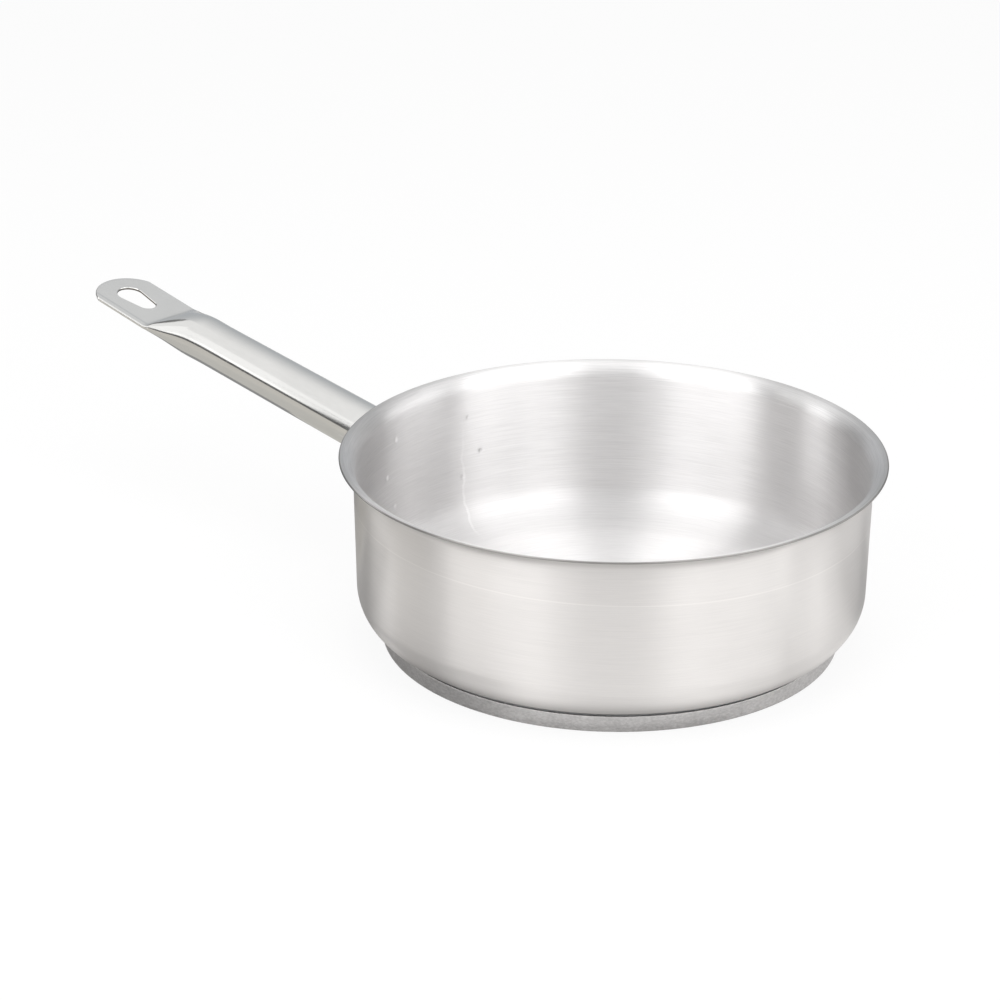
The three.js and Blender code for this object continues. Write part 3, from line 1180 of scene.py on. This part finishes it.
lens = bpy.data.cameras.new("camera")
lens.sensor_width = sensor_width
lens.lens = focal_length
camera = added("camera", lens)
pose = Matrix((camera_right, camera_up, -forward)).transposed().to_4x4()
pose.translation = view_from
camera.matrix_world = pose
bpy.context.scene.camera = camera
bpy.context.scene.view_settings.view_transform = "Standard"


# Studio
card_distance = 900
card_steps = 32


def grey(level):
    """A colour without a tint."""
    return (level, level, level)


def seen_ray(tree):
    """1 for rays from the camera and rays that metal or glass send on."""
    path = node(tree, "ShaderNodeLightPath")
    seen = path.output("Is Camera Ray") + path.output("Is Glossy Ray") + path.output("Is Transmission Ray")
    return seen.math("MINIMUM", seen, 1.0)


def white_world(ambient):
    """White where it is seen, and a plain ambient level as light."""
    world = bpy.data.worlds.new("studio")
    world.use_nodes = True
    tree = world.node_tree
    tree.nodes.clear()
    strength = ambient + seen_ray(tree) * (1 - ambient)
    light = node(tree, "ShaderNodeBackground", {"Color": (1, 1, 1, 1), "Strength": strength})
    node(tree, "ShaderNodeOutputWorld", {"Surface": light})
    bpy.context.scene.world = world


def white_floor(half_size, seen_glow, mirrored_glow, seen_paint, mirrored_paint):
    """A pale floor, white where it is seen, with a faint shadow, and duller where metal mirrors it."""
    corners = ((-1, -1), (1, -1), (1, 1), (-1, 1))
    points = [(half_size * x, half_size * y, 0) for x, y in corners]
    mesh = mesh_of("floor", points, [(0, 1, 2, 3)])
    finish, tree = new_finish("floor_white")
    mirrored = node(tree, "ShaderNodeLightPath").output("Is Glossy Ray")
    glow_share = seen_glow - mirrored * (seen_glow - mirrored_glow)
    paint_colour = blended(tree, mirrored, grey(seen_paint), grey(mirrored_paint))
    paint = node(tree, "ShaderNodeBsdfDiffuse", {"Color": paint_colour})
    glow = node(tree, "ShaderNodeEmission", {"Color": (1, 1, 1, 1), "Strength": 1.0})
    bright = node(tree, "ShaderNodeMixShader", {0: glow_share, 1: paint, 2: glow})
    surface = node(tree, "ShaderNodeMixShader", {0: seen_ray(tree), 1: paint, 2: bright})
    node(tree, "ShaderNodeOutputMaterial", {"Surface": surface})
    mesh.materials.append(finish)
    added("floor", mesh)


def studio_card(name, bearings, edges, shades, fade=0.0):
    """A card round the pan that only metal reflects, shaded from its first edge to its last.

    Bearings are in degrees left of straight behind the pan. An edge is a distance from the
    pan's axis and a height. The card thins out towards both ends, over a share of its length.
    """
    steps = card_steps
    points = []
    for i in range(steps + 1):
        turn = view_heading + math.radians(mix(bearings[0], bearings[1], i / steps))
        for distance, height in edges:
            points.append((distance * math.cos(turn), distance * math.sin(turn), height))
    faces = [(2 * i, 2 * i + 1, 2 * i + 3, 2 * i + 2) for i in range(steps)]
    mesh = mesh_of(name, points, faces)
    cover = mesh.attributes.new("cover", "FLOAT", "POINT")
    for i, value in enumerate(cover.data):
        place = i // 2 / steps
        value.value = smoothstep(min(place, 1 - place) / fade) if fade else 1
    finish, tree = new_finish(name)
    x, y, z = object_place(tree)
    travel = length_of(x, y) + z
    share = smooth(tree, travel, sum(edges[0]), sum(edges[1]))
    colour = blended(tree, share, shades[0], shades[-1])
    glow = node(tree, "ShaderNodeEmission", {"Color": colour, "Strength": 1.0})
    covered = node(tree, "ShaderNodeAttribute", attribute_name="cover").output("Fac")
    clear = node(tree, "ShaderNodeBsdfTransparent")
    surface = node(tree, "ShaderNodeMixShader", {0: covered, 1: clear, 2: glow})
    node(tree, "ShaderNodeOutputMaterial", {"Surface": surface})
    mesh.materials.append(finish)
    card = added(name, mesh)
    card.visible_camera = False
    card.visible_diffuse = False
    card.visible_shadow = False


def standing_card(name, bearings, heights, *shades):
    """A card that stands round the pan, shaded from its foot to its top."""
    studio_card(name, bearings, [(card_distance, height) for height in heights], shades)


def lying_card(name, bearings, distances, *shades, fade=0.0, height=1):
    """A card that lies on the floor round the pan, shaded outwards."""
    studio_card(name, bearings, [(distance, height) for distance in distances], shades, fade)


def ceiling_card(height, radius, shade):
    """A round card over the pan."""
    studio_card("ceiling", (0, 360), [(1, height), (radius, height)], (shade,))


def soft_box(name, bearing, rise, distance, width, height, brightness):
    """A soft box aimed at the pan, by degrees left of straight behind it and degrees above the floor."""
    turn = view_heading + math.radians(bearing)
    lift = math.radians(rise)
    reach = distance * math.cos(lift)
    place = Vector((reach * math.cos(turn), reach * math.sin(turn), distance * math.sin(lift)))
    data = bpy.data.lights.new(name, "AREA")
    data.shape = "RECTANGLE"
    data.size = width
    data.size_y = height
    data.energy = brightness * math.pi * width * height
    lamp = added(name, data)
    lamp.location = place
    lamp.rotation_euler = (-place).to_track_quat("-Z", "Y").to_euler()


white_world(ambient=0.7)
white_floor(half_size=3500, seen_glow=0.86, mirrored_glow=0.2, seen_paint=0.95, mirrored_paint=0.66)
ceiling_card(height=1700, radius=2600, shade=grey(0.97))
for card in (
    ("backdrop", (-18, 27), (0, 1100), (0.45, 0.47, 0.49), grey(0.95)),
    ("flag_back_left", (27, 60), (0, 330), grey(0.1), grey(0.2)),
    ("flag_back_left_high", (27, 50), (330, 500), grey(0.2)),
    ("flag_back_right", (-55, -18), (0, 1100), grey(0.45), grey(0.4)),
    ("card_gap_left", (60, 77), (220, 390), grey(3.6)),
    ("sweep_left", (77, 100), (0, 262), (0.64, 0.62, 0.58)),
    ("slit_left", (77, 100), (262, 400), grey(0.12)),
    ("card_back_left", (52, 66), (390, 1000), grey(1.15)),
    ("card_left_low", (66, 91), (400, 560), grey(1.4)),
    ("card_left", (66, 91), (560, 1100), grey(1.15)),
    ("flag_left", (91, 100), (400, 700), grey(0.12)),
    ("flag_left_high", (84, 100), (700, 1400), grey(0.2)),
    ("card_right", (-92, -55), (100, 330), grey(2.0)),
    ("card_right_high", (-92, -55), (330, 1100), grey(1.55)),
    ("card_front", (145, 215), (0, 260), grey(1.6)),
    ("flag_camera", (165, 195), (400, 850), grey(0.1)),
    ("card_camera_high", (158, 202), (850, 1500), grey(1.4)),
):
    standing_card(*card)
# Cards on the floor that only metal mirrors: painted shadow of the pan round its base, and painted shade and
# light on the floor farther out
lying_card("shade_left", (10, 162), (108, 160), grey(0.28), grey(0.42), fade=0.16)
lying_card("shade_right", (200, 330), (108, 140), grey(0.75), fade=0.16)
lying_card("near_back_left", (20, 66), (170, 270), (0.57, 0.56, 0.53), (0.58, 0.57, 0.54))
lying_card("near_left_dim", (66, 91), (170, 270), grey(0.35), grey(0.45), fade=0.15)
lying_card("near_left", (91, 122), (170, 270), grey(0.95), fade=0.2)
lying_card("near_right", (226, 312), (170, 300), grey(0.8), fade=0.1)
lying_card("near_right_bright", (233, 262), (170, 300), grey(1.25), fade=0.3, height=2)
lying_card("near_right_dim", (262, 304), (140, 300), grey(0.45), fade=0.25, height=2)
lying_card("shade_front", (146, 218), (108, 117), grey(0.46), grey(0.93), fade=0.25, height=2)
lying_card("near_front", (146, 218), (117, 160), grey(0.99), fade=0.25, height=2)
lying_card("floor_back_left", (20, 50), (270, 900), grey(0.3), grey(0.4))
lying_card("floor_left", (50, 95), (270, 900), (0.59, 0.58, 0.55), (0.67, 0.65, 0.61))
lying_card("floor_front_left", (95, 135), (270, 900), (0.60, 0.59, 0.57), (0.68, 0.66, 0.62))
soft_box("box_front_left", bearing=129, rise=34, distance=1.0, width=0.80, height=0.95, brightness=1.62)
soft_box("box_front_right", bearing=229, rise=34, distance=1.0, width=0.92, height=0.95, brightness=1.5)
soft_box("box_top", bearing=0, rise=90, distance=1.6, width=1.7, height=1.7, brightness=0.62)
